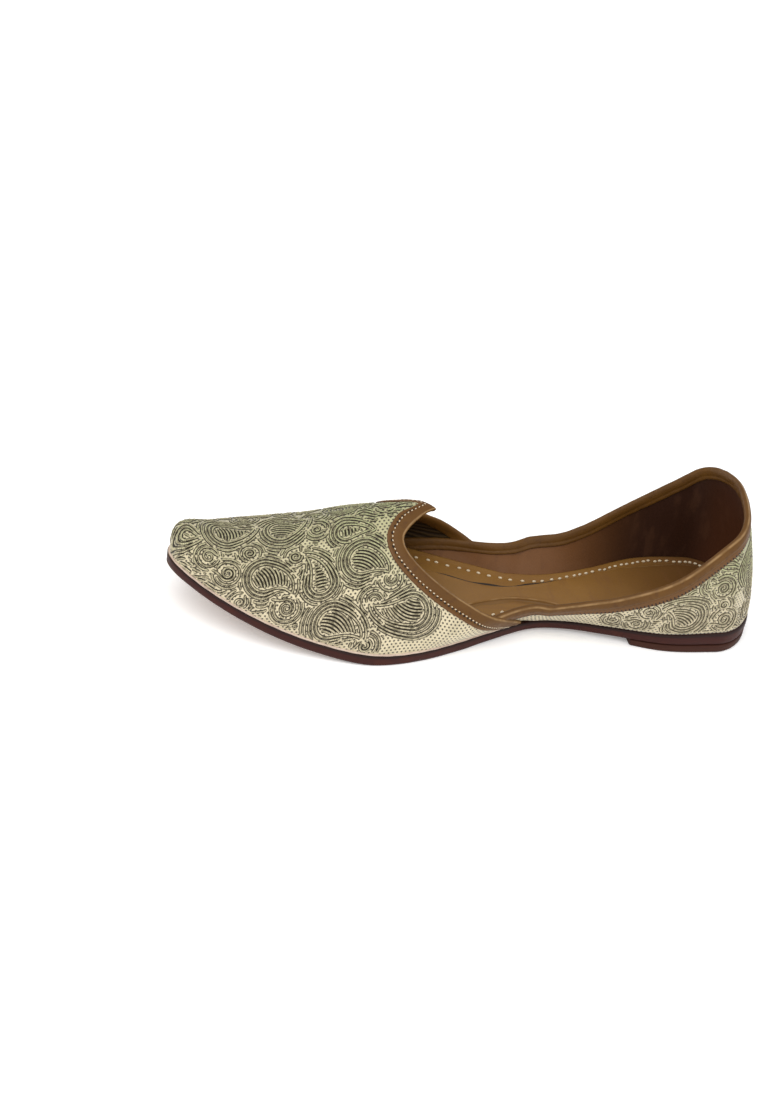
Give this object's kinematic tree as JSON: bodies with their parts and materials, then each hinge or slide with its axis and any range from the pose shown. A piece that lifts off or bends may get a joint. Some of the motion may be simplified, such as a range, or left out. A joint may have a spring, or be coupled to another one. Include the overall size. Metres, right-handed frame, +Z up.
{
  "type": "mojari shoe",
  "caption": "Flat slip-on shoe with a pointed embroidered vamp, a notched throat, a low raked heel quarter, bound edges and a thin leather sole.",
  "frame": {"origin": "on the floor under the middle of the shoe's length and width", "axes": "+X from the heel to the toe, +Y across the foot, +Z up"},
  "size_m": [0.287, 0.0996, 0.0766],
  "materials": {
    "sole_leather": "dark oxblood edge stain, smooth, lightly waxed",
    "lift_leather": "reddish brown edge stain, smooth",
    "insole_leather": "brown, smooth, with cream hand stitches round its edge",
    "sock_leather": "tan, smooth, soft sheen",
    "brocade": "cream and gold dotted weave, embroidered with cord",
    "binding_leather": "tan, folded, with rows of stitches"
  },
  "bodies": {
    "root": {"outsole": "sole_leather", "heel_lift": "lift_leather", "insole": "insole_leather", "sock": "sock_leather", "upper": "brocade", "throat_binding": "binding_leather", "collar_binding": "binding_leather"}
  },
  "joints": []
}
